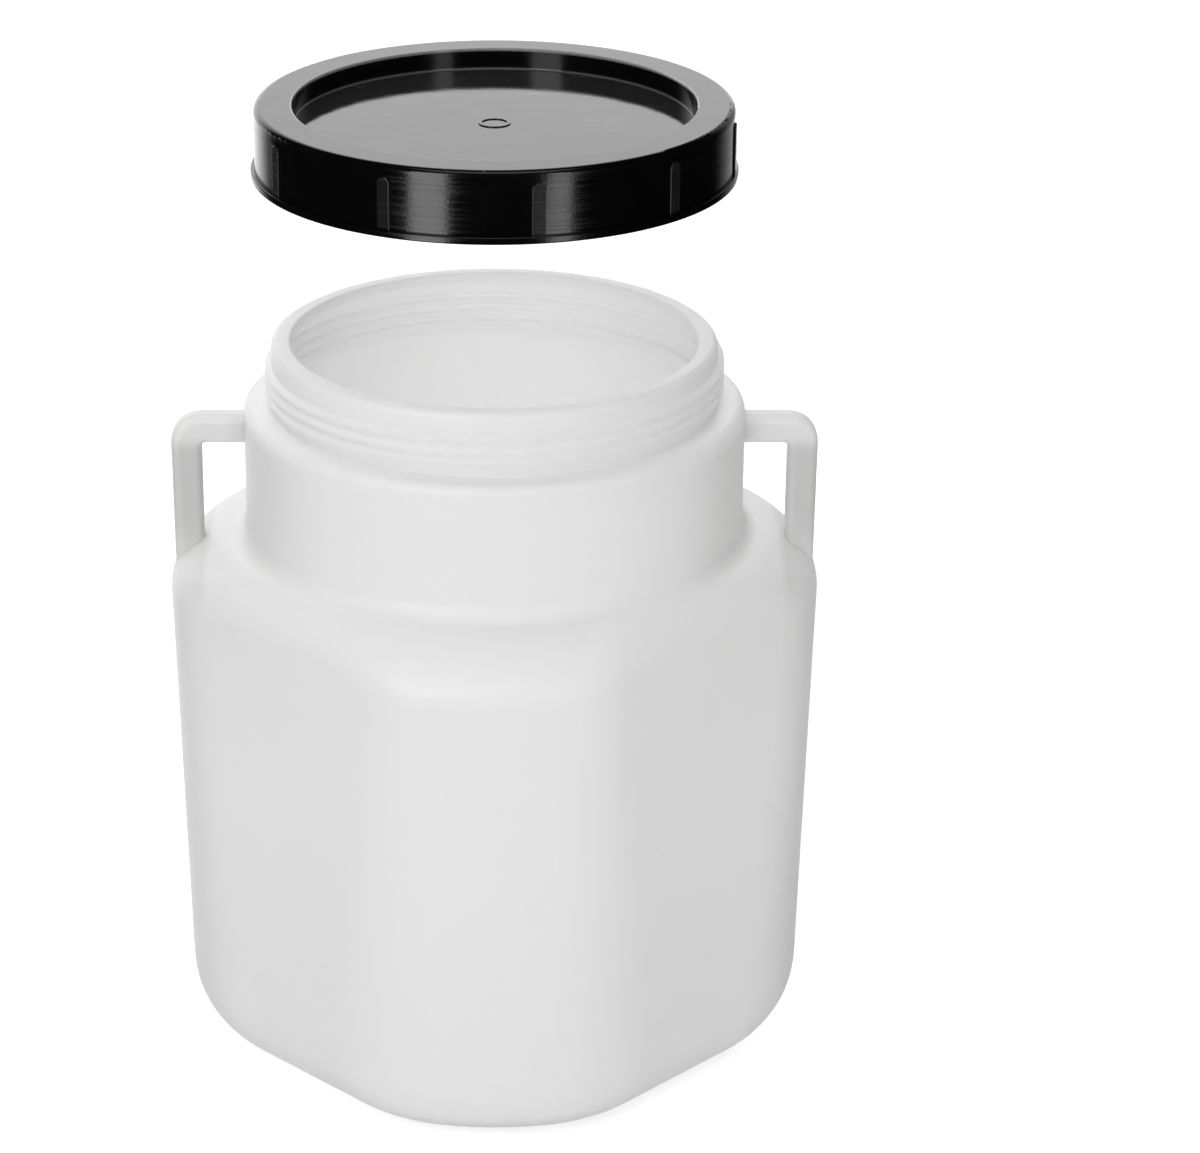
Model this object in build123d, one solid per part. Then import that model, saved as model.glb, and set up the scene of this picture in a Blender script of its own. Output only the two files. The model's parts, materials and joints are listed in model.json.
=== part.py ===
"""Wide-neck plastic jar with two moulded handles and a screw lid, lifted off above its neck.

Millimetres, +Z up, origin on the floor under the jar's axis. The jar's corners point along X and Y,
its handles lie in the XZ plane, and -Y faces the viewer.
"""

from math import cos, radians, sin
import os

from build123d import *

# Body: a square with rounded corners, narrower at the foot than at the shoulder
side_distance = 139.0
foot_corner_bulge = 9.7
shoulder_corner_bulge = 16.9
blend_angle = 34.0
wall = 2.4
floor_thickness = 2.4
foot_round = 42.0
foot_recess_depth = 3.0
standing_width = 12.0

# Shoulder: a dome turned about the axis, cut by the four sides
shoulder_height = 262.0
dome_round = 44.0
dome_centre_inset = 0.6
crease_round = 20.0

# Collar and neck
collar_inset = 20.4
collar_height = 64.5
collar_edge_round = 4.5
collar_root_round = 8.0
collar_shelf = 13.4
neck_height = 30.5
neck_root_round = 1.0
rim_round = 3.2
rim_width = 9.2
mouth_round = 1.5
lip_thickness = 4.5

# Screw thread: one right-handed start
thread_pitch = 5.8
thread_depth = 3.1
thread_turns = 3.0
thread_foot_width = 4.0
thread_crest_width = 1.6
thread_first_rise = 3.05
thread_start_angle = 15.0
thread_clearance = 0.5
thread_root_overlap = 1.2
run_out_angle = 14.0
run_out_share = 0.15

# Groove that the thread leaves in the neck's inner face
groove_depth = 1.6
groove_mouth_width = 3.2
groove_bed_width = 1.4

# Handles: a bar out from the collar and a leg down to the shoulder
handle_gap = 20.6
handle_foot_inset = 3.3
handle_foot_width = 13.4
handle_top_drop = 7.3
handle_bar_width = 14.2
handle_leg_width = 14.6
handle_thickness = 13.0
handle_corner_round = 14.0
handle_inner_round = 2.0
handle_edge_round = 4.0

# Lid
lid_wall = 2.2
lid_height = 33.0
lid_recess_depth = 10.2
lid_edge_round = 3.0
lid_lip_round = 0.8
plug_clearance = 0.5
lid_thread_turns = 2.25
lid_thread_start_angle = 60.0
lid_lift_turns = 19
bead_width = 1.9
bead_height = 3.4
bead_round = 0.8
rib_count = 10
rib_width = 6.2
rib_height = 0.9
rib_top_drop = 5.6
rib_edge_round = 0.5
rib_first_angle = -8.0
gate_ring_radius = 7.5
gate_ring_width = 1.6
gate_ring_height = 0.5

# Gasket
gasket_thickness = 1.8
gasket_margin = 1.2
gasket_edge_round = 0.4
contact_gap = 0.1

# Extra length of a cutting or joining solid
overrun = 5.0

# Heights and radii that follow from the sizes above
foot_corner_distance = side_distance + foot_corner_bulge
shoulder_corner_distance = side_distance + shoulder_corner_bulge
collar_radius = side_distance - collar_inset
dome_centre_radius = collar_radius - dome_centre_inset
neck_radius = collar_radius - collar_shelf
mouth_radius = neck_radius - rim_width
collar_top = shoulder_height + collar_height
jar_height = collar_top + neck_height
thread_radius = neck_radius + thread_depth
neck_bore = neck_radius - wall
lid_ceiling = jar_height + gasket_thickness + 2 * contact_gap
lid_top = lid_ceiling + lid_wall
lid_bottom = lid_top - lid_height
plug_radius = mouth_radius - plug_clearance
skirt_bore = thread_radius + thread_clearance
skirt_radius = skirt_bore + lid_wall
thread_start = collar_top + thread_first_rise
lid_lift = lid_lift_turns * thread_pitch


def polar(radius, angle):
    """Point at a radius and an angle in degrees."""
    return Vector(radius * cos(radians(angle)), radius * sin(radians(angle)))


def turned(corners):
    """Solid turned about Z from an outline of (radius, height, rounding) corners."""
    outline = make_face(Polyline([(radius, height) for radius, height, rounding in corners], close=True))
    for radius, height, rounding in corners:
        if rounding:
            outline = fillet(outline.vertices().sort_by_distance((radius, height))[0], rounding)
    return revolve(Plane.XZ * outline, Axis.Z)


def body_section(inset, height):
    """Plan of the body at one height, moved inwards by an inset."""
    lean = (shoulder_corner_distance - foot_corner_distance) / shoulder_height
    corner_distance = foot_corner_distance + lean * height
    blend_share = cos(radians(blend_angle))
    blend_radius = (side_distance - corner_distance * blend_share) / (1 - blend_share)
    blend_centre = corner_distance - blend_radius
    half_side = blend_centre * sin(radians(blend_angle))
    corner_half_angle = 45 - blend_angle
    edges = []
    for quarter in range(4):
        corner = 90 * quarter
        normal = corner + 45
        middle = polar(side_distance - inset, normal)
        along = polar(half_side, normal + 90)
        edges += [
            CenterArc((0, 0), corner_distance - inset, corner - corner_half_angle, 2 * corner_half_angle),
            CenterArc(polar(blend_centre, normal - blend_angle), blend_radius - inset,
                      normal - blend_angle, blend_angle),
            Line(middle - along, middle + along),
            CenterArc(polar(blend_centre, normal + blend_angle), blend_radius - inset,
                      normal, blend_angle),
        ]
    return Pos(0, 0, height) * make_face(edges)


def body_solid(inset, foot, foot_edge):
    """Body under a domed shoulder, its faces moved inwards by an inset, standing at the height foot."""
    prism = loft([body_section(inset, foot), body_section(inset, shoulder_height + overrun)], ruled=True)
    dome_foot = shoulder_height - dome_round
    dome_top = shoulder_height - inset
    dome_reach = dome_centre_radius + dome_round - inset
    outline = make_face([
        Line((0, foot), (dome_reach, foot)),
        Line((dome_reach, foot), (dome_reach, dome_foot)),
        CenterArc((dome_centre_radius, dome_foot), dome_round - inset, 0, 90),
        Line((dome_centre_radius, dome_top), (0, dome_top)),
        Line((0, dome_top), (0, foot)),
    ])
    body = prism & revolve(Plane.XZ * outline, Axis.Z)
    rim = [
        edge for edge in body.edges()
        if all(vertex.Z > dome_foot and Vector(vertex.X, vertex.Y).length > side_distance - inset - contact_gap
               for vertex in edge.vertices())
    ]
    body = fillet(rim, crease_round - inset)
    return fillet(body.faces().sort_by(Axis.Z)[0].edges(), foot_edge)


def thread_section(radius, depth, foot_width, crest_width):
    """Thread's section on a root radius, its flanks running on into the wall; a negative depth points inwards."""
    side = 1 if depth > 0 else -1
    flare = thread_root_overlap * (foot_width - crest_width) / 2 / abs(depth)
    root = radius - side * thread_root_overlap
    return Plane.XZ * make_face(Polyline([
        (root, -foot_width / 2 - flare),
        (radius + depth, -crest_width / 2),
        (radius + depth, crest_width / 2),
        (root, foot_width / 2 + flare),
    ], close=True))


def thread_ridge(radius, depth, foot_width, crest_width, turns, start_angle, offset):
    """Helical ridge and its two run-outs, on the jar's helix moved up by an offset."""
    helix = Helix(thread_pitch, turns * thread_pitch, radius)
    full = thread_section(radius, depth, foot_width, crest_width)
    faded = thread_section(radius, depth * run_out_share, foot_width * run_out_share,
                           crest_width * run_out_share)
    ridge = sweep(full, path=helix, is_frenet=True)
    rise = thread_pitch * run_out_angle / 360
    first = loft([Pos(0, 0, -rise) * Rot(0, 0, -run_out_angle) * faded, full], ruled=True)
    last = loft([full, Pos(0, 0, rise) * Rot(0, 0, run_out_angle) * faded], ruled=True)
    end = Pos(0, 0, turns * thread_pitch) * Rot(0, 0, 360 * turns)
    start = thread_start + offset + thread_pitch * start_angle / 360
    place = Pos(0, 0, start) * Rot(0, 0, start_angle)
    return [place * ridge, place * first, place * end * last]


def handle():
    """Handle on the +X side: a bar from the collar and a leg to the shoulder."""
    top = collar_top - handle_top_drop
    under = top - handle_bar_width
    foot = shoulder_height - dome_round
    inner = collar_radius + handle_gap
    outer = inner + handle_leg_width
    foot_outer = shoulder_corner_distance - handle_foot_inset
    foot_inner = foot_outer - handle_foot_width
    root = collar_radius - wall
    outline = make_face(Polyline([
        (root, under), (inner, under), (foot_inner, foot),
        (foot_outer, foot), (outer, top), (root, top),
    ], close=True))
    outline = fillet(outline.vertices().sort_by_distance((outer, top))[0], handle_corner_round)
    outline = fillet(outline.vertices().sort_by_distance((inner, under))[0], handle_inner_round)
    bar = extrude(Plane.XZ * outline, handle_thickness / 2, both=True)
    sides = bar.faces().sort_by(Axis.Y)
    return fillet(sides[0].edges() + sides[-1].edges(), handle_edge_round)


def make_jar():
    """Jar: body, collar, threaded neck and handles in one hollow moulding."""
    joint = shoulder_height - dome_round
    neck = turned([
        (0, joint, 0),
        (collar_radius, joint, 0),
        (collar_radius, collar_top, collar_edge_round),
        (neck_radius, collar_top, neck_root_round),
        (neck_radius, jar_height, rim_round),
        (0, jar_height, 0),
    ])
    outer = body_solid(0, 0, foot_round) + neck
    outer = fillet(collar_root(outer, collar_radius), collar_root_round)
    outer += thread_ridge(neck_radius, thread_depth, thread_foot_width, thread_crest_width,
                          thread_turns, thread_start_angle, 0)
    outer = outer + handle() + Rot(0, 0, 180) * handle()

    floor = foot_recess_depth + floor_thickness
    lip = jar_height - lip_thickness
    bore = turned([
        (0, joint, 0),
        (collar_radius - wall, joint, 0),
        (collar_radius - wall, collar_top - wall, collar_edge_round),
        (neck_bore, collar_top - wall, 0),
        (neck_bore, lip, mouth_round),
        (mouth_radius, lip, 0),
        (mouth_radius, jar_height + overrun, 0),
        (0, jar_height + overrun, 0),
    ])
    cavity = body_solid(wall, floor, foot_round - wall) + bore
    cavity = fillet(collar_root(cavity, collar_radius - wall), collar_root_round)
    cavity += thread_ridge(neck_bore, groove_depth, groove_mouth_width, groove_bed_width,
                           thread_turns, thread_start_angle, 0)
    jar = outer - cavity
    mouth = [
        edge for edge in jar.edges().filter_by(GeomType.CIRCLE)
        if abs(edge.radius - mouth_radius) < contact_gap and abs(edge.center().Z - jar_height) < contact_gap
    ]
    jar = fillet(mouth, mouth_round)

    ring_inset = foot_round + standing_width
    recess = loft([body_section(ring_inset, 0), body_section(ring_inset + foot_recess_depth, foot_recess_depth)],
                  ruled=True)
    return jar - recess


def collar_root(solid, radius):
    """Circular edge where the collar stands on the shoulder."""
    return [
        edge for edge in solid.edges().filter_by(GeomType.CIRCLE)
        if abs(edge.radius - radius) < contact_gap and abs(edge.center().Z - shoulder_height) < overrun
    ]


def make_lid():
    """Screw lid with a sunk middle, in its place on the neck."""
    recess_floor = lid_top - lid_recess_depth
    recess_radius = plug_radius - lid_wall
    under_floor = recess_floor - lid_wall
    bead_radius = skirt_radius + bead_width
    lid = turned([
        (0, recess_floor, 0),
        (recess_radius, recess_floor, lid_lip_round),
        (recess_radius, lid_top, lid_lip_round),
        (skirt_radius, lid_top, lid_edge_round),
        (skirt_radius, lid_bottom + bead_height, 0),
        (bead_radius, lid_bottom + bead_height, bead_round),
        (bead_radius, lid_bottom, bead_round),
        (skirt_bore, lid_bottom, 0),
        (skirt_bore, lid_ceiling, 0),
        (plug_radius, lid_ceiling, 0),
        (plug_radius, under_floor, lid_lip_round),
        (0, under_floor, 0),
    ])
    lid += turned([
        (gate_ring_radius - gate_ring_width, recess_floor - lid_wall / 2, 0),
        (gate_ring_radius, recess_floor - lid_wall / 2, 0),
        (gate_ring_radius, recess_floor + gate_ring_height, 0),
        (gate_ring_radius - gate_ring_width, recess_floor + gate_ring_height, 0),
    ])
    rib_top = lid_top - rib_top_drop
    rib_foot = lid_bottom + bead_height - rib_width / 2
    rib_outline = SlotOverall(rib_top - rib_foot, rib_width)
    for index in range(rib_count):
        outward = polar(1, rib_first_angle + index * 360 / rib_count)
        middle = outward * skirt_bore + Vector(0, 0, (rib_top + rib_foot) / 2)
        rib = extrude(Plane(origin=middle, x_dir=(0, 0, 1), z_dir=outward) * rib_outline, lid_wall + rib_height)
        front = rib.faces().sort_by_distance(outward * (skirt_radius + collar_radius))[0]
        lid += fillet(front.edges(), rib_edge_round)
    lid += thread_ridge(skirt_bore, -thread_depth, thread_foot_width, thread_crest_width,
                        lid_thread_turns, lid_thread_start_angle, thread_pitch / 2)
    return lid


def make_gasket():
    """Flat sealing ring against the lid's ceiling, in its place on the rim."""
    inner = plug_radius + contact_gap
    outer = neck_radius + gasket_margin
    under = jar_height + contact_gap
    top = under + gasket_thickness
    return turned([
        (inner, under, gasket_edge_round),
        (outer, under, gasket_edge_round),
        (outer, top, gasket_edge_round),
        (inner, top, gasket_edge_round),
    ])


# The photograph shows the lid lifted clear of the neck, a whole number of turns above its seat
lifted = Pos(0, 0, lid_lift)
parts = {
    "jar": make_jar(),
    "lid": lifted * make_lid(),
    "lid_gasket": lifted * make_gasket(),
}
os.makedirs("parts", exist_ok=True)
for name, part in parts.items():
    export_step(part, f"parts/{name}.step")
    box = part.bounding_box()
    print(name, part.is_valid, len(part.solids()), round(part.volume), box.min, box.max)
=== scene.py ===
"""Looks of the wide-neck jar and its lifted screw lid.

Metres, +Z up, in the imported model's own frame: the jar stands on Z = 0, its handles lie in the XZ
plane and -Y faces the camera. Angles are in degrees.
"""

from __future__ import annotations

import json
import logging
import math
from abc import ABC, abstractmethod
from dataclasses import dataclass
from enum import Enum

import bpy
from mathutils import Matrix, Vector

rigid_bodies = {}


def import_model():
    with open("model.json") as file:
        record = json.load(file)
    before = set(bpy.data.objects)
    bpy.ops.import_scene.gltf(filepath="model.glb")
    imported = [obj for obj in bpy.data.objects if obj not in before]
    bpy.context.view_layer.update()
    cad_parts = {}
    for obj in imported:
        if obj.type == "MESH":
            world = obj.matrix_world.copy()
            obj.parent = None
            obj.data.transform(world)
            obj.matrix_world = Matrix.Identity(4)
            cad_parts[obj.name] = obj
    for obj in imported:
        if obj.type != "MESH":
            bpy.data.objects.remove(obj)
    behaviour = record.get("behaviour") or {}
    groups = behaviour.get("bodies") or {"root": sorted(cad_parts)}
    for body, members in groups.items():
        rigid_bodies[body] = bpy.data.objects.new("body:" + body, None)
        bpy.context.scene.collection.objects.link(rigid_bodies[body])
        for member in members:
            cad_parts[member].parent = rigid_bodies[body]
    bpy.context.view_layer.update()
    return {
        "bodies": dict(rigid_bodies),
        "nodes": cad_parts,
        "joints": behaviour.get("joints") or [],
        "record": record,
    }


LOG = logging.getLogger("jar")
SKIN_DETAIL = 2.0
WAVE_DETAIL = 1.0
Triple = tuple[float, float, float]
Tree = bpy.types.ShaderNodeTree
Node = bpy.types.Node
Socket = bpy.types.NodeSocket


class Slot(Enum):
    """Material slots of the record."""

    JAR = "jar"
    LID = "lid"
    GASKET = "lid_gasket"


class Measure(Enum):
    """Distances that place a point: from the YZ plane, from the floor and from the Z axis."""

    ACROSS = "X"
    HEIGHT = "Z"
    RADIUS = "R"


class Operation(Enum):
    """What is done with two values."""

    ADD = "ADD"
    MULTIPLY = "MULTIPLY"
    MAXIMUM = "MAXIMUM"


def grey(level: float) -> Triple:
    """Give the neutral colour of a level."""
    return level, level, level


def solid(colour: Triple) -> tuple[float, float, float, float]:
    """Give a colour its full alpha."""
    return *colour, 1.0


def combined(tree: Tree, operation: Operation, first: Socket, second: Socket) -> Socket:
    """Combine two values.

    Args:
        tree: Node tree that takes the node.
        operation: What is done with them.
        first: Socket of one value.
        second: Socket of the other.

    Returns:
        The socket of the result.
    """
    node = tree.nodes.new("ShaderNodeMath")
    node.operation = operation.value
    tree.links.new(first, node.inputs[0])
    tree.links.new(second, node.inputs[1])
    return node.outputs[0]


def soft_step(tree: Tree, value: Socket, start: float, end: float,
              low: float = 0.0, high: float = 1.0) -> Socket:
    """Turn a value into a soft step from one level to another.

    Args:
        tree: Node tree that takes the step.
        value: Socket of the value.
        start: Value at which the step starts.
        end: Value at which it ends; below the start, it makes the step run backwards.
        low: Level before the step.
        high: Level after it.

    Returns:
        The socket of the level.
    """
    step = tree.nodes.new("ShaderNodeMapRange")
    step.interpolation_type = "SMOOTHSTEP"
    for name, number in (("From Min", start), ("From Max", end), ("To Min", low), ("To Max", high)):
        step.inputs[name].default_value = number
    tree.links.new(value, step.inputs["Value"])
    return step.outputs["Result"]


def colour_mix(tree: Tree, factor: Socket, second: Triple) -> Node:
    """Add a mix towards a second colour.

    Args:
        tree: Node tree that takes the mix.
        factor: Socket of the second colour's share.
        second: The second colour.

    Returns:
        The node, with its first colour still to be given.
    """
    mix = tree.nodes.new("ShaderNodeMix")
    mix.data_type = "RGBA"
    mix.inputs["B"].default_value = solid(second)
    tree.links.new(factor, mix.inputs["Factor"])
    return mix


def surface_group() -> Tree:
    """Build the group that all the plastics share: a fine moulded skin and soft waves below it.

    Returns:
        The group, with scale and depth inputs, and height and mottle outputs.
    """
    group = bpy.data.node_groups.new("moulded_surface", "ShaderNodeTree")
    for name in ("Skin Scale", "Skin Depth", "Wave Scale", "Wave Depth"):
        group.interface.new_socket(name, in_out="INPUT", socket_type="NodeSocketFloat")
    for name in ("Height", "Mottle"):
        group.interface.new_socket(name, in_out="OUTPUT", socket_type="NodeSocketFloat")
    entry = group.nodes.new("NodeGroupInput")
    leave = group.nodes.new("NodeGroupOutput")
    place = group.nodes.new("ShaderNodeTexCoord")
    skin = group.nodes.new("ShaderNodeTexNoise")
    wave = group.nodes.new("ShaderNodeTexNoise")
    skin.inputs["Detail"].default_value = SKIN_DETAIL
    wave.inputs["Detail"].default_value = WAVE_DETAIL
    heights = []
    for kind, noise in (("Skin", skin), ("Wave", wave)):
        group.links.new(place.outputs["Object"], noise.inputs["Vector"])
        group.links.new(entry.outputs[f"{kind} Scale"], noise.inputs["Scale"])
        depth = entry.outputs[f"{kind} Depth"]
        heights.append(combined(group, Operation.MULTIPLY, noise.outputs["Fac"], depth))
    group.links.new(combined(group, Operation.ADD, *heights), leave.inputs["Height"])
    group.links.new(wave.outputs["Fac"], leave.inputs["Mottle"])
    return group


@dataclass(frozen=True)
class Band:
    """A soft step along one measure of a piece, which runs inwards or down where it ends lower."""

    measure: Measure
    start: float
    end: float

    def mask(self, tree: Tree) -> Socket:
        """Add the step.

        Args:
            tree: Node tree that takes it.

        Returns:
            The socket that gives 0 before the start and 1 past the end.
        """
        place = tree.nodes.new("ShaderNodeTexCoord")
        parts = tree.nodes.new("ShaderNodeSeparateXYZ")
        distance = tree.nodes.new("ShaderNodeMath")
        distance.operation = "ABSOLUTE"
        tree.links.new(place.outputs["Object"], parts.inputs["Vector"])
        if self.measure is Measure.RADIUS:
            measured = self.radius(tree, parts)
        else:
            measured = parts.outputs[self.measure.value]
        tree.links.new(measured, distance.inputs[0])
        return soft_step(tree, distance.outputs[0], self.start, self.end)

    @staticmethod
    def radius(tree: Tree, parts: Node) -> Socket:
        """Measure how far a point is from the Z axis.

        Args:
            tree: Node tree that takes the nodes.
            parts: Node that gives the point's coordinates.

        Returns:
            The socket of the distance.
        """
        flat = tree.nodes.new("ShaderNodeCombineXYZ")
        length = tree.nodes.new("ShaderNodeVectorMath")
        length.operation = "LENGTH"
        for axis in ("X", "Y"):
            tree.links.new(parts.outputs[axis], flat.inputs[axis])
        tree.links.new(flat.outputs["Vector"], length.inputs[0])
        return length.outputs["Value"]


@dataclass(frozen=True, kw_only=True)
class Streaks:
    """Noise drawn out along some axes of a piece and cut to a band of its levels."""

    stretch: Triple
    turn: float = 0.0
    low: float
    high: float
    detail: float = 2.0

    def mask(self, tree: Tree) -> Socket:
        """Add the noise.

        Args:
            tree: Node tree that takes it.

        Returns:
            The socket that gives 0 below the low level and 1 above the high one.
        """
        place = tree.nodes.new("ShaderNodeTexCoord")
        turned = tree.nodes.new("ShaderNodeMapping")
        stretched = tree.nodes.new("ShaderNodeMapping")
        noise = tree.nodes.new("ShaderNodeTexNoise")
        cut = tree.nodes.new("ShaderNodeMapRange")
        turned.inputs["Rotation"].default_value = (0.0, 0.0, math.radians(self.turn))
        stretched.inputs["Scale"].default_value = self.stretch
        noise.inputs["Scale"].default_value = 1.0
        noise.inputs["Detail"].default_value = self.detail
        cut.inputs["From Min"].default_value = self.low
        cut.inputs["From Max"].default_value = self.high
        tree.links.new(place.outputs["Object"], turned.inputs["Vector"])
        tree.links.new(turned.outputs["Vector"], stretched.inputs["Vector"])
        tree.links.new(stretched.outputs["Vector"], noise.inputs["Vector"])
        tree.links.new(noise.outputs["Fac"], cut.inputs["Value"])
        return cut.outputs["Result"]


@dataclass(frozen=True, kw_only=True)
class Layer(ABC):
    """Something laid over a finish, as far as each of its masks lets it."""

    strength: float = 1.0
    masks: tuple[Band | Streaks, ...]

    @abstractmethod
    def cover(self, tree: Tree, shader: Node) -> None:
        """Lay it over what the shader is fed with."""

    def factor(self, tree: Tree) -> Socket:
        """Multiply the strength by the masks.

        Args:
            tree: Node tree that takes the nodes.

        Returns:
            The socket that gives the strength where every mask is full.
        """
        level = tree.nodes.new("ShaderNodeValue")
        level.outputs[0].default_value = self.strength
        product = level.outputs[0]
        for mask in self.masks:
            product = combined(tree, Operation.MULTIPLY, mask.mask(tree), product)
        return product


@dataclass(frozen=True, kw_only=True)
class Tint(Layer):
    """A second tone."""

    colour: Triple

    def cover(self, tree: Tree, shader: Node) -> None:
        """Lay the tone over the shader's colour.

        Args:
            tree: The material's node tree.
            shader: Its Principled shader, with a linked colour.
        """
        mix = colour_mix(tree, self.factor(tree), self.colour)
        tree.links.new(shader.inputs["Base Color"].links[0].from_socket, mix.inputs["A"])
        tree.links.new(mix.outputs["Result"], shader.inputs["Base Color"])


@dataclass(frozen=True, kw_only=True)
class GlossChange(Layer):
    """Roughness to add; a negative strength polishes."""

    def cover(self, tree: Tree, shader: Node) -> None:
        """Add to the shader's roughness.

        Args:
            tree: The material's node tree.
            shader: Its Principled shader, with a linked roughness.
        """
        total = tree.nodes.new("ShaderNodeMath")
        total.use_clamp = True
        tree.links.new(shader.inputs["Roughness"].links[0].from_socket, total.inputs[0])
        tree.links.new(self.factor(tree), total.inputs[1])
        tree.links.new(total.outputs[0], shader.inputs["Roughness"])


@dataclass(frozen=True, kw_only=True)
class Scatter:
    """How far light travels inside a plastic."""

    weight: float
    reach: Triple
    scale: float

    def apply(self, shader: Node) -> None:
        """Set the scattering.

        Args:
            shader: The material's Principled shader.
        """
        shader.inputs["Subsurface Weight"].default_value = self.weight
        shader.inputs["Subsurface Radius"].default_value = self.reach
        shader.inputs["Subsurface Scale"].default_value = self.scale


@dataclass(frozen=True, kw_only=True)
class Translucency:
    """Share of the diffuse light that a wall lets through.

    A ray shorter than near is stopped, so that grooves keep their shade, and one longer than far
    passes with the whole share.
    """

    share: float
    near: float = 0.004
    far: float = 0.02

    def apply(self, tree: Tree, shader: Node) -> None:
        """Feed the shader's Alpha, which stays full for the camera and for reflections.

        Args:
            tree: The material's node tree.
            shader: Its Principled shader.
        """
        rays = tree.nodes.new("ShaderNodeLightPath")
        cover = tree.nodes.new("ShaderNodeMath")
        cover.operation = "MULTIPLY_ADD"
        cover.inputs[2].default_value = 1.0
        shadow = rays.outputs["Is Shadow Ray"]
        diffuse = rays.outputs["Is Diffuse Ray"]
        lighting = combined(tree, Operation.MAXIMUM, shadow, diffuse)
        loss = soft_step(tree, rays.outputs["Ray Length"], self.near, self.far, high=-self.share)
        tree.links.new(lighting, cover.inputs[0])
        tree.links.new(loss, cover.inputs[1])
        tree.links.new(cover.outputs[0], shader.inputs["Alpha"])


@dataclass(frozen=True, kw_only=True)
class PlasticFinish:
    """A moulded plastic, from its colour and gloss to the depth of its skin."""

    name: str
    colour: Triple
    second_colour: Triple
    roughness: float
    roughness_spread: float
    ior: float
    gloss_level: float = 0.5
    scatter: Scatter | None = None
    translucency: Translucency | None = None
    skin_scale: float
    skin_depth: float
    wave_scale: float
    wave_depth: float
    bump_distance: float
    layers: tuple[Layer, ...] = ()

    def build(self, group: Tree) -> bpy.types.Material:
        """Make the material.

        Args:
            group: The shared surface group.

        Returns:
            The finished material.
        """
        material = bpy.data.materials.new(self.name)
        material.use_nodes = True
        tree = material.node_tree
        shader = tree.nodes["Principled BSDF"]
        shader.inputs["IOR"].default_value = self.ior
        shader.inputs["Specular IOR Level"].default_value = self.gloss_level
        if self.scatter:
            self.scatter.apply(shader)
        if self.translucency:
            self.translucency.apply(tree, shader)
        surface = self.surface(tree, group)
        self.tone(tree, shader, surface.outputs["Mottle"])
        for layer in self.layers:
            layer.cover(tree, shader)
        self.relief(tree, shader, surface.outputs["Height"])
        return material

    def surface(self, tree: Tree, group: Tree) -> Node:
        """Place the shared group with this plastic's own values.

        Args:
            tree: The material's node tree.
            group: The shared surface group.

        Returns:
            The group's node.
        """
        surface = tree.nodes.new("ShaderNodeGroup")
        surface.node_tree = group
        surface.inputs["Skin Scale"].default_value = self.skin_scale
        surface.inputs["Skin Depth"].default_value = self.skin_depth
        surface.inputs["Wave Scale"].default_value = self.wave_scale
        surface.inputs["Wave Depth"].default_value = self.wave_depth
        return surface

    def tone(self, tree: Tree, shader: Node, mottle: Socket) -> None:
        """Mottle the colour and the roughness.

        Args:
            tree: The material's node tree.
            shader: Its Principled shader.
            mottle: Socket of the mottle, from 0 to 1.
        """
        colour = colour_mix(tree, mottle, self.second_colour)
        colour.inputs["A"].default_value = solid(self.colour)
        gloss = tree.nodes.new("ShaderNodeMapRange")
        gloss.inputs["To Min"].default_value = self.roughness - self.roughness_spread
        gloss.inputs["To Max"].default_value = self.roughness + self.roughness_spread
        tree.links.new(mottle, gloss.inputs["Value"])
        tree.links.new(colour.outputs["Result"], shader.inputs["Base Color"])
        tree.links.new(gloss.outputs["Result"], shader.inputs["Roughness"])

    def relief(self, tree: Tree, shader: Node, height: Socket) -> None:
        """Raise the skin and the waves.

        Args:
            tree: The material's node tree.
            shader: Its Principled shader.
            height: Socket of their height.
        """
        bump = tree.nodes.new("ShaderNodeBump")
        bump.inputs["Distance"].default_value = self.bump_distance
        tree.links.new(height, bump.inputs["Height"])
        tree.links.new(bump.outputs["Normal"], shader.inputs["Normal"])


@dataclass
class Moulding(ABC):
    """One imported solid, dressed as it stands."""

    frame: dict
    slot: Slot

    @abstractmethod
    def finish(self) -> PlasticFinish:
        """Give the moulding's finish."""

    def dress(self, group: Tree) -> None:
        """Give the solid its material and report it.

        Args:
            group: The shared surface group.
        """
        node = self.frame["nodes"][self.slot.value]
        finish = self.finish()
        material = finish.build(group)
        node.data.materials.clear()
        node.data.materials.append(material)
        LOG.info("%s: %s", self.slot.value, finish.name)


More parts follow.
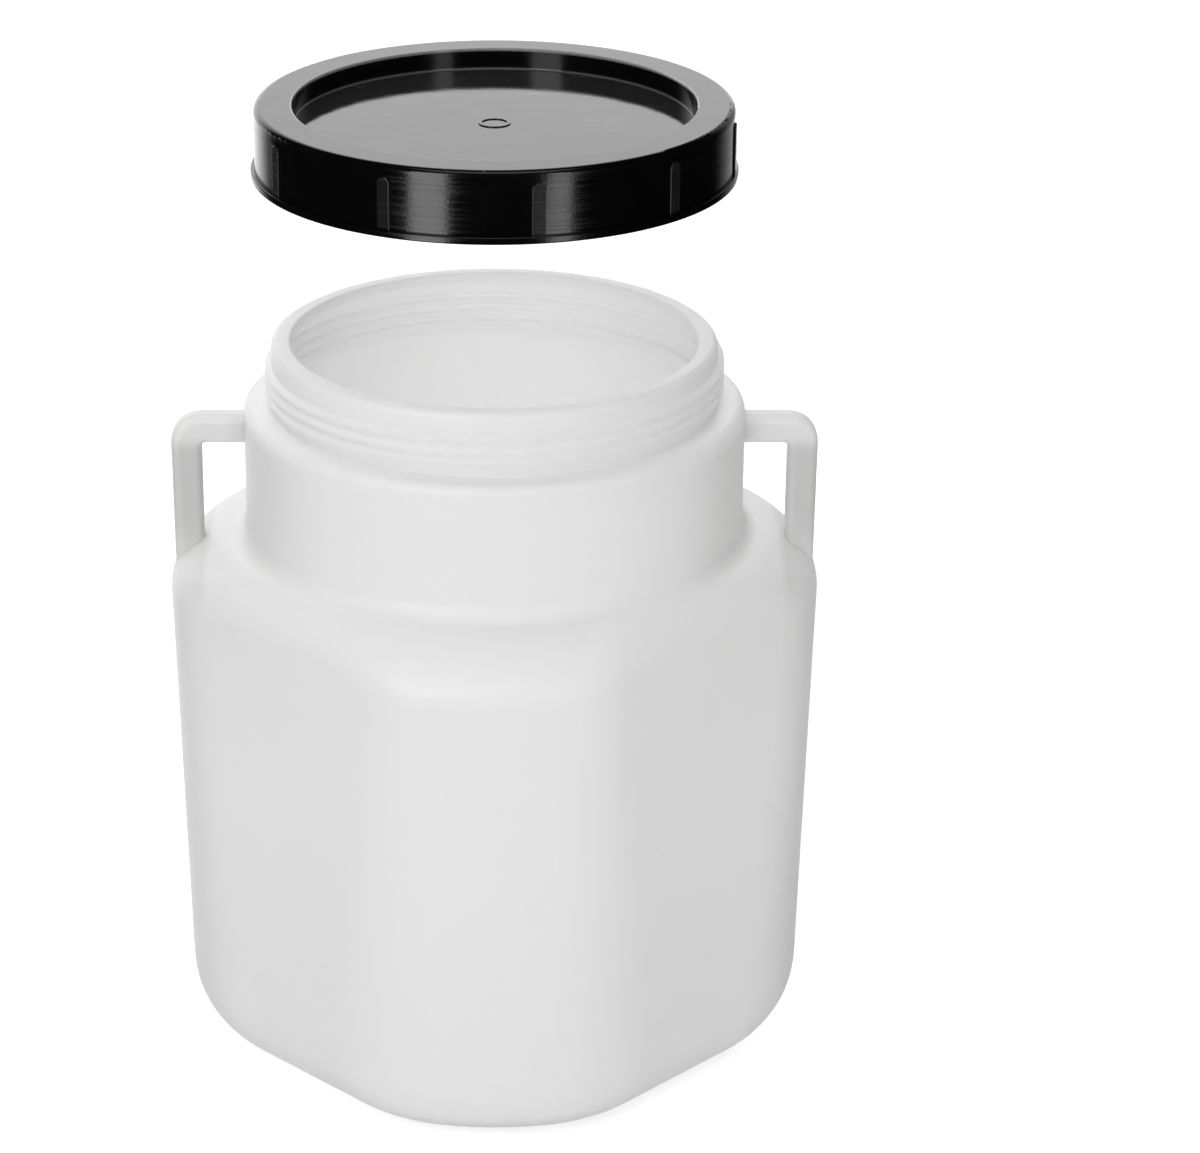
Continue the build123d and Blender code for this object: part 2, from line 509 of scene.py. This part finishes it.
@dataclass
class Jar(Moulding):
    """The vessel with its neck and handles, one blow-moulded piece."""

    slot: Slot = Slot.JAR
    over_collar: Band = Band(Measure.HEIGHT, 0.326, 0.332)
    below_collar_top: Band = Band(Measure.HEIGHT, 0.326, 0.316)
    over_shoulder: Band = Band(Measure.HEIGHT, 0.25, 0.27)
    below_shoulder: Band = Band(Measure.HEIGHT, 0.262, 0.25)
    over_mid_panel: Band = Band(Measure.HEIGHT, 0.15, 0.24)
    over_handle_feet: Band = Band(Measure.HEIGHT, 0.236, 0.27)
    below_handle_tops: Band = Band(Measure.HEIGHT, 0.31, 0.3)
    towards_handles: Band = Band(Measure.ACROSS, 0.06, 0.15)
    beside_collar: Band = Band(Measure.ACROSS, 0.075, 0.118)
    past_collar: Band = Band(Measure.ACROSS, 0.119, 0.13)
    at_handle_legs: Band = Band(Measure.ACROSS, 0.134, 0.139)

    def finish(self) -> PlasticFinish:
        """Give the white, translucent plastic, with painted light on the neck and painted shade towards
        the handles.

        Returns:
            The finish.
        """
        layers = (
            # Painted light: everything above the collar is made paler, so the neck and its inside look
            # more brightly lit.
            Tint(colour=(0.99, 0.99, 0.987), masks=(self.over_collar,)),
            # Painted shade: the upper side panels are darkened towards the handles.
            Tint(colour=(0.84, 0.84, 0.837),
                 masks=(self.towards_handles, self.over_mid_panel, self.below_shoulder)),
            # Painted shade: the collar's sides beside the handles are darkened.
            Tint(colour=(0.77, 0.77, 0.767), strength=0.9,
                 masks=(self.beside_collar, self.over_shoulder, self.below_collar_top)),
            # Painted shade: the handles are darkened from their feet up.
            Tint(colour=(0.85, 0.85, 0.847), masks=(self.past_collar, self.over_handle_feet)),
            # Painted shade: the handles' legs are darkened further.
            Tint(colour=(0.68, 0.68, 0.677),
                 masks=(self.at_handle_legs, self.over_handle_feet, self.below_handle_tops)),
        )
        return PlasticFinish(
            name="jar_white", colour=(0.93, 0.93, 0.926), second_colour=(0.91, 0.91, 0.905),
            roughness=0.42, roughness_spread=0.05, ior=1.54, gloss_level=0.3,
            scatter=Scatter(weight=1.0, reach=(1.0, 1.0, 0.97), scale=0.005),
            translucency=Translucency(share=0.95), skin_scale=700.0, skin_depth=0.15,
            wave_scale=22.0, wave_depth=1.0, bump_distance=0.0004, layers=layers)


@dataclass
class Lid(Moulding):
    """The black screw lid, polished by its mould and a little worn on its level faces."""

    slot: Slot = Slot.LID
    in_recess: Band = Band(Measure.RADIUS, 0.0945, 0.0925)
    below_recess_wall: Band = Band(Measure.HEIGHT, 0.4632, 0.4618)
    over_floor_underside: Band = Band(Measure.HEIGHT, 0.4603, 0.4608)
    on_rim: Band = Band(Measure.HEIGHT, 0.4708, 0.4712)
    outside_lip: Band = Band(Measure.RADIUS, 0.0931, 0.0934)
    inside_lip: Band = Band(Measure.RADIUS, 0.0944, 0.0941)
    over_lip_foot: Band = Band(Measure.HEIGHT, 0.4698, 0.4703)
    outside_floor: Band = Band(Measure.RADIUS, 0.0922, 0.0926)
    inside_wall: Band = Band(Measure.RADIUS, 0.0955, 0.0945)
    below_wall_foot: Band = Band(Measure.HEIGHT, 0.4621, 0.4618)
    over_wall_underside: Band = Band(Measure.HEIGHT, 0.4605, 0.461)
    on_skirt: Band = Band(Measure.RADIUS, 0.1095, 0.1105)
    on_ribs: Band = Band(Measure.RADIUS, 0.1113, 0.1116)
    over_rib_feet: Band = Band(Measure.HEIGHT, 0.4423, 0.4427)
    haze: Streaks = Streaks(stretch=(14.0, 14.0, 14.0), low=-0.6, high=1.0)
    recess_scratches: Streaks = Streaks(stretch=(40.0, 1500.0, 40.0), turn=12.0, low=0.66, high=0.72)
    recess_patches: Streaks = Streaks(stretch=(90.0, 90.0, 90.0), low=0.52, high=0.6)
    rim_scratches: Streaks = Streaks(stretch=(50.0, 1700.0, 50.0), turn=67.0, low=0.66, high=0.72)
    rim_patches: Streaks = Streaks(stretch=(70.0, 70.0, 70.0), turn=30.0, low=0.54, high=0.6)
    skirt_rings: Streaks = Streaks(stretch=(9.0, 9.0, 900.0), low=0.42, high=0.75)

    def finish(self) -> PlasticFinish:
        """Give the black plastic with haze, fine scratches, painted highlights along the recess edges, a
        painted reflection on the rib faces and streaked gloss.

        Returns:
            The finish.
        """
        recess = (self.in_recess, self.below_recess_wall, self.over_floor_underside)
        lip = (self.outside_lip, self.inside_lip, self.over_lip_foot)
        wall_foot = (self.outside_floor, self.inside_wall, self.below_wall_foot, self.over_wall_underside)
        ribs = (self.on_ribs, self.over_rib_feet)
        layers = (
            Tint(colour=grey(0.032), strength=0.9, masks=(*recess, self.haze)),
            Tint(colour=grey(0.25), strength=0.8,
                 masks=(*recess, self.recess_scratches, self.recess_patches)),
            Tint(colour=grey(0.2), strength=0.8,
                 masks=(self.on_rim, self.rim_scratches, self.rim_patches)),
            # Painted highlight: a thin pale line along the recess lip.
            Tint(colour=grey(0.35), strength=0.7, masks=lip),
            # Painted highlight: a thin pale line where the recess wall meets the floor.
            Tint(colour=grey(0.1), strength=0.8, masks=wall_foot),
            # Painted reflection: the rib faces are made a lighter grey.
            Tint(colour=grey(0.012), strength=0.9, masks=ribs),
            GlossChange(strength=0.06, masks=ribs),
            GlossChange(strength=0.12, masks=(self.on_skirt, self.skirt_rings)),
            GlossChange(strength=-0.08, masks=recess),
        )
        return PlasticFinish(
            name="lid_black", colour=(0.0015, 0.0015, 0.0016), second_colour=(0.0025, 0.0025, 0.0026),
            roughness=0.13, roughness_spread=0.03, ior=1.5, translucency=Translucency(share=0.8),
            skin_scale=800.0, skin_depth=0.1, wave_scale=40.0, wave_depth=0.6, bump_distance=0.0002,
            layers=layers)


@dataclass
class Gasket(Moulding):
    """The flat sealing ring inside the lid."""

    slot: Slot = Slot.GASKET

    def finish(self) -> PlasticFinish:
        """Give the matt grey rubber.

        Returns:
            The finish.
        """
        return PlasticFinish(
            name="gasket_grey", colour=(0.6, 0.6, 0.58), second_colour=(0.55, 0.55, 0.53),
            roughness=0.6, roughness_spread=0.05, ior=1.45, skin_scale=1200.0, skin_depth=0.4,
            wave_scale=60.0, wave_depth=0.4, bump_distance=0.0002)


@dataclass(frozen=True, kw_only=True)
class View:
    """The camera, at the photograph's viewing angle and framing."""

    target: Triple = (0.0, 0.0, 0.25824)
    distance: float = 1.92
    pitch: float = 22.0
    focal_length: float = 120.0
    sensor_width: float = 36.0
    image_width: float = 1200.0
    image_height: float = 1153.0
    target_column: float = 494.5
    target_row: float = 531.17

    def build(self) -> None:
        """Add the camera, with its target at its place in the picture."""
        pitch = math.radians(self.pitch)
        back = Vector((0.0, -math.cos(pitch), math.sin(pitch)))
        data = bpy.data.cameras.new("camera")
        data.lens = self.focal_length
        data.sensor_width = self.sensor_width
        data.shift_x = (self.image_width / 2 - self.target_column) / self.image_width
        data.shift_y = -(self.image_height / 2 - self.target_row) / self.image_width
        camera = bpy.data.objects.new("camera", data)
        bpy.context.scene.collection.objects.link(camera)
        camera.location = Vector(self.target) + back * self.distance
        camera.rotation_euler = back.to_track_quat("Z", "Y").to_euler()
        bpy.context.scene.camera = camera


@dataclass(frozen=True, kw_only=True)
class Surround:
    """The world: a shaped fill for the object, a wall for gloss and plain white for the camera.

    Each from and full is the part of a ray's direction at which a step starts and ends.
    """

    fill_stops: tuple[tuple[float, float], ...] = (
        (0.0, 0.25), (0.3, 0.9), (0.45, 2.0), (0.65, 0.63), (1.0, 0.03))
    low_fill: float = 1.12
    high_fill: float = 0.89
    high_from: float = 0.3
    high_full: float = 0.7
    front_reflection: float = 0.01
    back_reflection: float = 1.6
    back_from: float = 0.62
    back_full: float = 0.9
    left_reflection: float = 1.0
    right_reflection: float = 0.3
    right_from: float = 0.15
    right_full: float = 0.4
    seen: float = 1.0

    def fill(self, tree: Tree, direction: Node) -> Socket:
        """Shape the light on the object, from left to right and from low to high.

        Args:
            tree: The world's node tree.
            direction: Node that gives the parts of a ray's direction.

        Returns:
            The socket of the light's level.
        """
        across = tree.nodes.new("ShaderNodeMapRange")
        across.inputs["From Min"].default_value = -1.0
        sides = tree.nodes.new("ShaderNodeValToRGB")
        sides.color_ramp.interpolation = "EASE"
        stops = sides.color_ramp.elements
        for position, _ in self.fill_stops[1:-1]:
            stops.new(position)
        for stop, (_, level) in zip(stops, self.fill_stops):
            stop.color = solid(grey(level))
        tree.links.new(direction.outputs["X"], across.inputs["Value"])
        tree.links.new(across.outputs["Result"], sides.inputs["Fac"])
        overhead = soft_step(tree, direction.outputs["Z"], self.high_from, self.high_full,
                             self.low_fill, self.high_fill)
        return combined(tree, Operation.MULTIPLY, sides.outputs["Color"], overhead)

    def mirrored(self, tree: Tree, direction: Node) -> Socket:
        """Shape what gloss sees: a bright wall behind the object, dimmer on the right.

        Args:
            tree: The world's node tree.
            direction: Node that gives the parts of a ray's direction.

        Returns:
            The socket of the level in gloss.
        """
        wall = soft_step(tree, direction.outputs["Y"], self.back_from, self.back_full,
                         self.front_reflection, self.back_reflection)
        shade = soft_step(tree, direction.outputs["X"], self.right_from, self.right_full,
                          self.left_reflection, self.right_reflection)
        return combined(tree, Operation.MULTIPLY, wall, shade)

    def build(self) -> None:
        """Add the world, with a level of its own for each kind of ray."""
        world = bpy.data.worlds.new("studio")
        bpy.context.scene.world = world
        world.use_nodes = True
        tree = world.node_tree
        back = tree.nodes["Background"]
        back.inputs["Color"].default_value = solid(grey(1.0))
        rays = tree.nodes.new("ShaderNodeLightPath")
        place = tree.nodes.new("ShaderNodeTexCoord")
        direction = tree.nodes.new("ShaderNodeSeparateXYZ")
        glossy = tree.nodes.new("ShaderNodeMix")
        seen = tree.nodes.new("ShaderNodeMix")
        seen.inputs["B"].default_value = self.seen
        tree.links.new(place.outputs["Generated"], direction.inputs["Vector"])
        tree.links.new(self.fill(tree, direction), glossy.inputs["A"])
        tree.links.new(self.mirrored(tree, direction), glossy.inputs["B"])
        tree.links.new(rays.outputs["Is Glossy Ray"], glossy.inputs["Factor"])
        tree.links.new(glossy.outputs["Result"], seen.inputs["A"])
        tree.links.new(rays.outputs["Is Camera Ray"], seen.inputs["Factor"])
        tree.links.new(seen.outputs["Result"], back.inputs["Strength"])


@dataclass(frozen=True, kw_only=True)
class Floor:
    """The pale floor, which keeps the object's shadow and isn't seen from below."""

    size: float = 60.0
    gap: float = 0.0002
    colour: Triple = grey(0.93)
    glow: float = 0.5

    def material(self) -> bpy.types.Material:
        """Make the matt material, which glows a little for the camera and is open from below.

        Returns:
            The finished material.
        """
        material = bpy.data.materials.new("floor")
        material.use_nodes = True
        tree = material.node_tree
        shader = tree.nodes["Principled BSDF"]
        shader.inputs["Base Color"].default_value = solid(self.colour)
        shader.inputs["Roughness"].default_value = 1.0
        shader.inputs["Specular IOR Level"].default_value = 0.0
        shader.inputs["Emission Color"].default_value = solid(grey(1.0))
        rays = tree.nodes.new("ShaderNodeLightPath")
        glow = tree.nodes.new("ShaderNodeMath")
        glow.operation = "MULTIPLY"
        glow.inputs[1].default_value = self.glow
        side = tree.nodes.new("ShaderNodeNewGeometry")
        front = tree.nodes.new("ShaderNodeMath")
        front.operation = "SUBTRACT"
        front.inputs[0].default_value = 1.0
        tree.links.new(rays.outputs["Is Camera Ray"], glow.inputs[0])
        tree.links.new(glow.outputs[0], shader.inputs["Emission Strength"])
        tree.links.new(side.outputs["Backfacing"], front.inputs[1])
        tree.links.new(front.outputs[0], shader.inputs["Alpha"])
        return material

    def build(self) -> None:
        """Add the plane, a little below the object's foot."""
        bpy.ops.mesh.primitive_plane_add(size=self.size, location=(0.0, 0.0, -self.gap))
        floor = bpy.context.object
        floor.name = "floor"
        floor.data.materials.append(self.material())
        floor.visible_glossy = False


@dataclass(frozen=True, kw_only=True)
class Softbox:
    """A rectangular studio lamp that faces a point and shows only in gloss."""

    name: str
    azimuth: float
    elevation: float
    width: float
    height: float
    radiance: float
    distance: float = 3.0
    target: Triple = (0.0, 0.0, 0.3)

    def build(self) -> None:
        """Add the lamp, aimed at its target."""
        turn = math.radians(self.azimuth)
        rise = math.radians(self.elevation)
        level = math.cos(rise)
        away = Vector((math.sin(turn) * level, -math.cos(turn) * level, math.sin(rise)))
        data = bpy.data.lights.new(self.name, "AREA")
        data.shape = "RECTANGLE"
        data.size = self.width
        data.size_y = self.height
        data.energy = self.radiance * math.pi * self.width * self.height
        lamp = bpy.data.objects.new(self.name, data)
        bpy.context.scene.collection.objects.link(lamp)
        lamp.location = Vector(self.target) + away * self.distance
        lamp.rotation_euler = away.to_track_quat("Z", "Y").to_euler()
        lamp.visible_diffuse = False


@dataclass
class Studio:
    """Camera, world, floor and lamps."""

    view: View = View()
    surround: Surround = Surround()
    floor: Floor = Floor()
    lamps: tuple[Softbox, ...] = (
        Softbox(name="left_strip", azimuth=-31.0, elevation=0.0, width=0.95, height=4.4, radiance=4.2),
        Softbox(name="right_strip", azimuth=30.5, elevation=0.0, width=0.55, height=4.4, radiance=3.2),
        Softbox(name="top_panel", azimuth=0.0, elevation=78.0, width=2.2, height=1.6, radiance=1.0),
    )
    diffuse_bounces: int = 12

    def build(self) -> None:
        """Set up the whole studio."""
        bpy.context.scene.view_settings.view_transform = "Standard"
        bpy.context.scene.cycles.diffuse_bounces = self.diffuse_bounces
        for part in (self.view, self.surround, self.floor, *self.lamps):
            part.build()


def main() -> None:
    """Load the frame, dress the mouldings in order and set up the studio."""
    logging.basicConfig(level=logging.INFO, format="%(message)s")
    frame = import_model()
    bpy.ops.object.select_all(action="DESELECT")
    group = surface_group()
    for moulding in (Jar(frame), Lid(frame), Gasket(frame)):
        moulding.dress(group)
    Studio().build()


if __name__ == "__main__":
    main()
